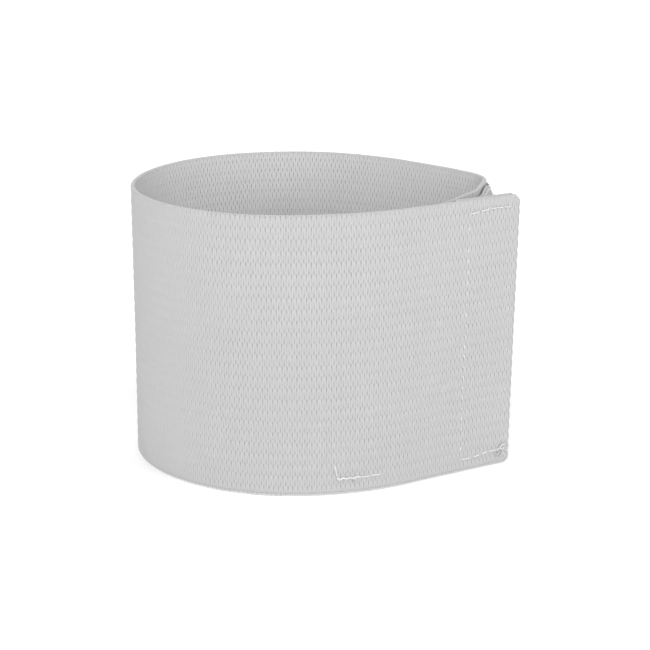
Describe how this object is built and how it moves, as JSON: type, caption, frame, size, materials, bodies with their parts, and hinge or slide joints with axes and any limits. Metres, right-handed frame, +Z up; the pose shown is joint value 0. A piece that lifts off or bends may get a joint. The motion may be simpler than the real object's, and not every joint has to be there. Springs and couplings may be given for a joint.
{
  "type": "woven elastic wrap wristband",
  "caption": "Wide ribbed elastic band wrapped into a loop for the wrist or arm, with a peel-open flap closed by sewn hook-and-loop patches.",
  "frame": {"origin": "on the ground, under the middle of the whole object's box", "axes": "+Z up along the webbing's width, +X to the right towards the flap's end, +Y to the back; the flap opens at the front right"},
  "size_m": [0.0946, 0.0668, 0.07],
  "materials": {
    "elastic": "pale grey ribbed woven elastic, matt",
    "hook_tape": "pale grey nylon hook tape",
    "loop_tape": "grey brushed loop tape",
    "thread": "white polyester sewing thread, slight sheen"
  },
  "bodies": {
    "loop": {"band_loop": "elastic", "underlap_loop_patch": "loop_tape", "underlap_loop_needle_thread": "thread", "underlap_loop_bobbin_thread": "thread"},
    "flap_base": {"flap_base_band": "elastic", "base_hook_patch": "hook_tape", "base_hook_needle_thread": "thread", "base_hook_bobbin_thread": "thread"},
    "flap_tip": {"flap_tip_band": "elastic", "tip_hook_patch": "hook_tape", "tip_hook_needle_thread": "thread", "tip_hook_bobbin_thread": "thread"}
  },
  "joints": [
    {"name": "flap_base_peel", "type": "hinge", "parent": "loop", "child": "flap_base", "pos_m": [0.00053, -0.03292, 0.035], "axis": [0, 0, -1], "range_deg": [0, 70]},
    {"name": "flap_tip_peel", "type": "hinge", "parent": "flap_base", "child": "flap_tip", "pos_m": [0.02549, -0.02452, 0.035], "axis": [0, 0, -1], "range_deg": [0, 100]}
  ]
}
